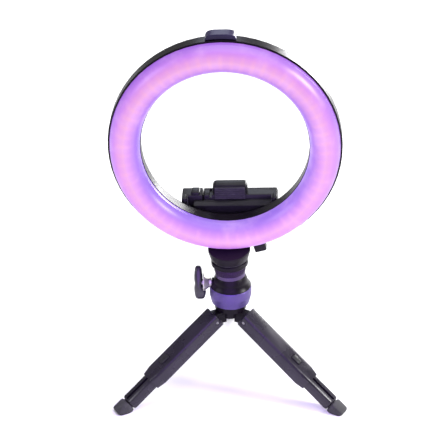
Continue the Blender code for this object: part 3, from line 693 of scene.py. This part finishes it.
def ledge_slope():
    """A cutter for the sloping front of the clamp's ledge, which leads a phone in."""
    swivel = HEAD.inverted() @ Vector(JOINTS["clamp_swivel"]["pos_m"])
    left = extent("clamp_body", HEAD)[0][0] - MM
    right = extent("fixed_jaw_pad", HEAD)[0][0] - 0.3 * MM
    front, top = swivel.y - 27 * MM, swivel.z - 1.8 * MM
    slope, run, height, lead = math.radians(30), 5 * MM, 4 * MM, 2 * MM
    foot = Vector((0, front, top - run * math.sin(slope)))
    plane = Matrix.Translation(foot) @ Matrix.Rotation(slope, 4, "X")
    size = Matrix.Diagonal((right - left, run + lead, height, 1))
    centre = Matrix.Translation(((left + right) / 2, (run - lead) / 2, height / 2))
    bm = bmesh.new()
    bmesh.ops.create_cube(bm, size=1.0, matrix=HEAD @ plane @ centre @ size)
    return cutter_from(bm)


def dress_holder():
    clamp = moulded_plastic("clamp_plastic", *GREY_BLACK, gloss=(0.3, 0.42), ior=1.25)
    refine("clamp_body", clamp, cutters=(ledge_slope(),))
    for node in ("clamp_cover", "sliding_jaw", "holder_knuckle", "holder_bracket"):
        refine(node, clamp)
    make_tilt_knob()
    steel = plated_metal("holder_fastener_plate")
    refine("tilt_bolt", steel)
    refine("swivel_screw", steel, 0.1, cross_recess("swivel_screw", BACK))
    assign(steel, "guide_rods")
    make_spring("jaw_spring_1", steel)
    make_spring("jaw_spring_2", steel)
    pad = rubber("clamp_pad_rubber")
    ribbed_pad("back_pad", pad, face=1, rib=2, count=6, inward=-1)
    ribbed_pad("jaw_pad", pad, face=0, rib=1, count=5, inward=1)
    ribbed_pad("fixed_jaw_pad", pad, face=0, rib=1, count=5, inward=-1)


def dress_legs():
    for index in (1, 2, 3):
        paint = moulded_plastic(f"leg_paint_{index}", (0.010, 0.008, 0.014), (0.020, 0.016, 0.026),
                                gloss=(0.2, 0.34), grain=0.12, ior=1.4)
        refine(f"leg_upper_{index}", paint, 0.3)
        refine(f"leg_lower_{index}", paint)
        refine(f"leg_button_{index}", moulded_plastic(f"button_plastic_{index}", *GREY_BLACK), 0.2)
        refine(f"leg_pin_{index}", plated_metal(f"pin_plate_{index}", (0.12, 0.12, 0.13)), 0.3)
        refine(f"foot_{index}", rubber(f"foot_rubber_{index}"), 0.3)


# --- Light, floor and camera ----------------------------------------------------------------------------

def make_floor():
    bm = bmesh.new()
    bmesh.ops.create_grid(bm, x_segments=8, y_segments=8, size=4.0)
    mesh = bpy.data.meshes.new("floor")
    bm.to_mesh(mesh)
    bm.free()
    floor = bpy.data.objects.new("floor", mesh)
    floor.location.z = CAD_BOX[0].z - 0.2 * MM
    bpy.context.scene.collection.objects.link(floor)
    mesh.materials.append(ground("floor_paint"))


def make_light(name, place, size, power, colour=(1, 1, 1), target=(0, 0, 0.15)):
    data = bpy.data.lights.new(name, "AREA")
    data.shape = "DISK"
    data.size = size
    data.energy = power
    data.color = colour
    light = bpy.data.objects.new(name, data)
    light.location = place
    light.rotation_euler = (Vector(target) - Vector(place)).to_track_quat("-Z", "Y").to_euler()
    bpy.context.scene.collection.objects.link(light)


def make_lights():
    world = bpy.data.worlds.new("studio")
    world.use_nodes = True
    world.node_tree.nodes["Background"].inputs["Color"].default_value = (1, 1, 1, 1)
    world.node_tree.nodes["Background"].inputs["Strength"].default_value = 0.35
    bpy.context.scene.world = world
    make_light("top_soft", (0.2, 0.2, 2.4), 2.4, 42)
    make_light("key_right", (1.6, -0.3, 1.1), 0.6, 40)
    make_light("rim_right", (1.1, 1.7, 0.5), 0.9, 38)
    make_light("fill_left", (-1.9, -0.5, 1.2), 1.0, 15, (0.92, 0.9, 1.0))
    make_light("back_strip", (-0.1, 1.9, 1.2), 0.7, 4, (0.78, 0.84, 1.0), HEAD_ORIGIN)
    make_light("ring_glow", RING_CENTRE - BACK * 0.16 - UP * 0.06, 0.2, 0.35, (0.45, 0.22, 1.0), HEAD_ORIGIN)


def make_camera():
    target = Vector((STAND_AXIS.x, STAND_AXIS.y, VIEW_HEIGHT))
    toward = Vector((0, -math.cos(VIEW_ELEVATION), math.sin(VIEW_ELEVATION)))
    place = target + toward * VIEW_DISTANCE
    up = Vector((0, math.sin(VIEW_ELEVATION), math.cos(VIEW_ELEVATION)))
    aim = target + up * AIM_UP - Vector((AIM_LEFT, 0, 0))
    data = bpy.data.cameras.new("camera")
    data.lens = FOCAL * data.sensor_width
    camera = bpy.data.objects.new("camera", data)
    camera.location = place
    camera.rotation_euler = (aim - place).to_track_quat("-Z", "Y").to_euler()
    bpy.context.scene.collection.objects.link(camera)
    bpy.context.scene.camera = camera
    bpy.context.scene.view_settings.view_transform = "Standard"


make_camera()
dress_lamp()
dress_neck()
dress_holder()
dress_legs()
make_floor()
make_lights()
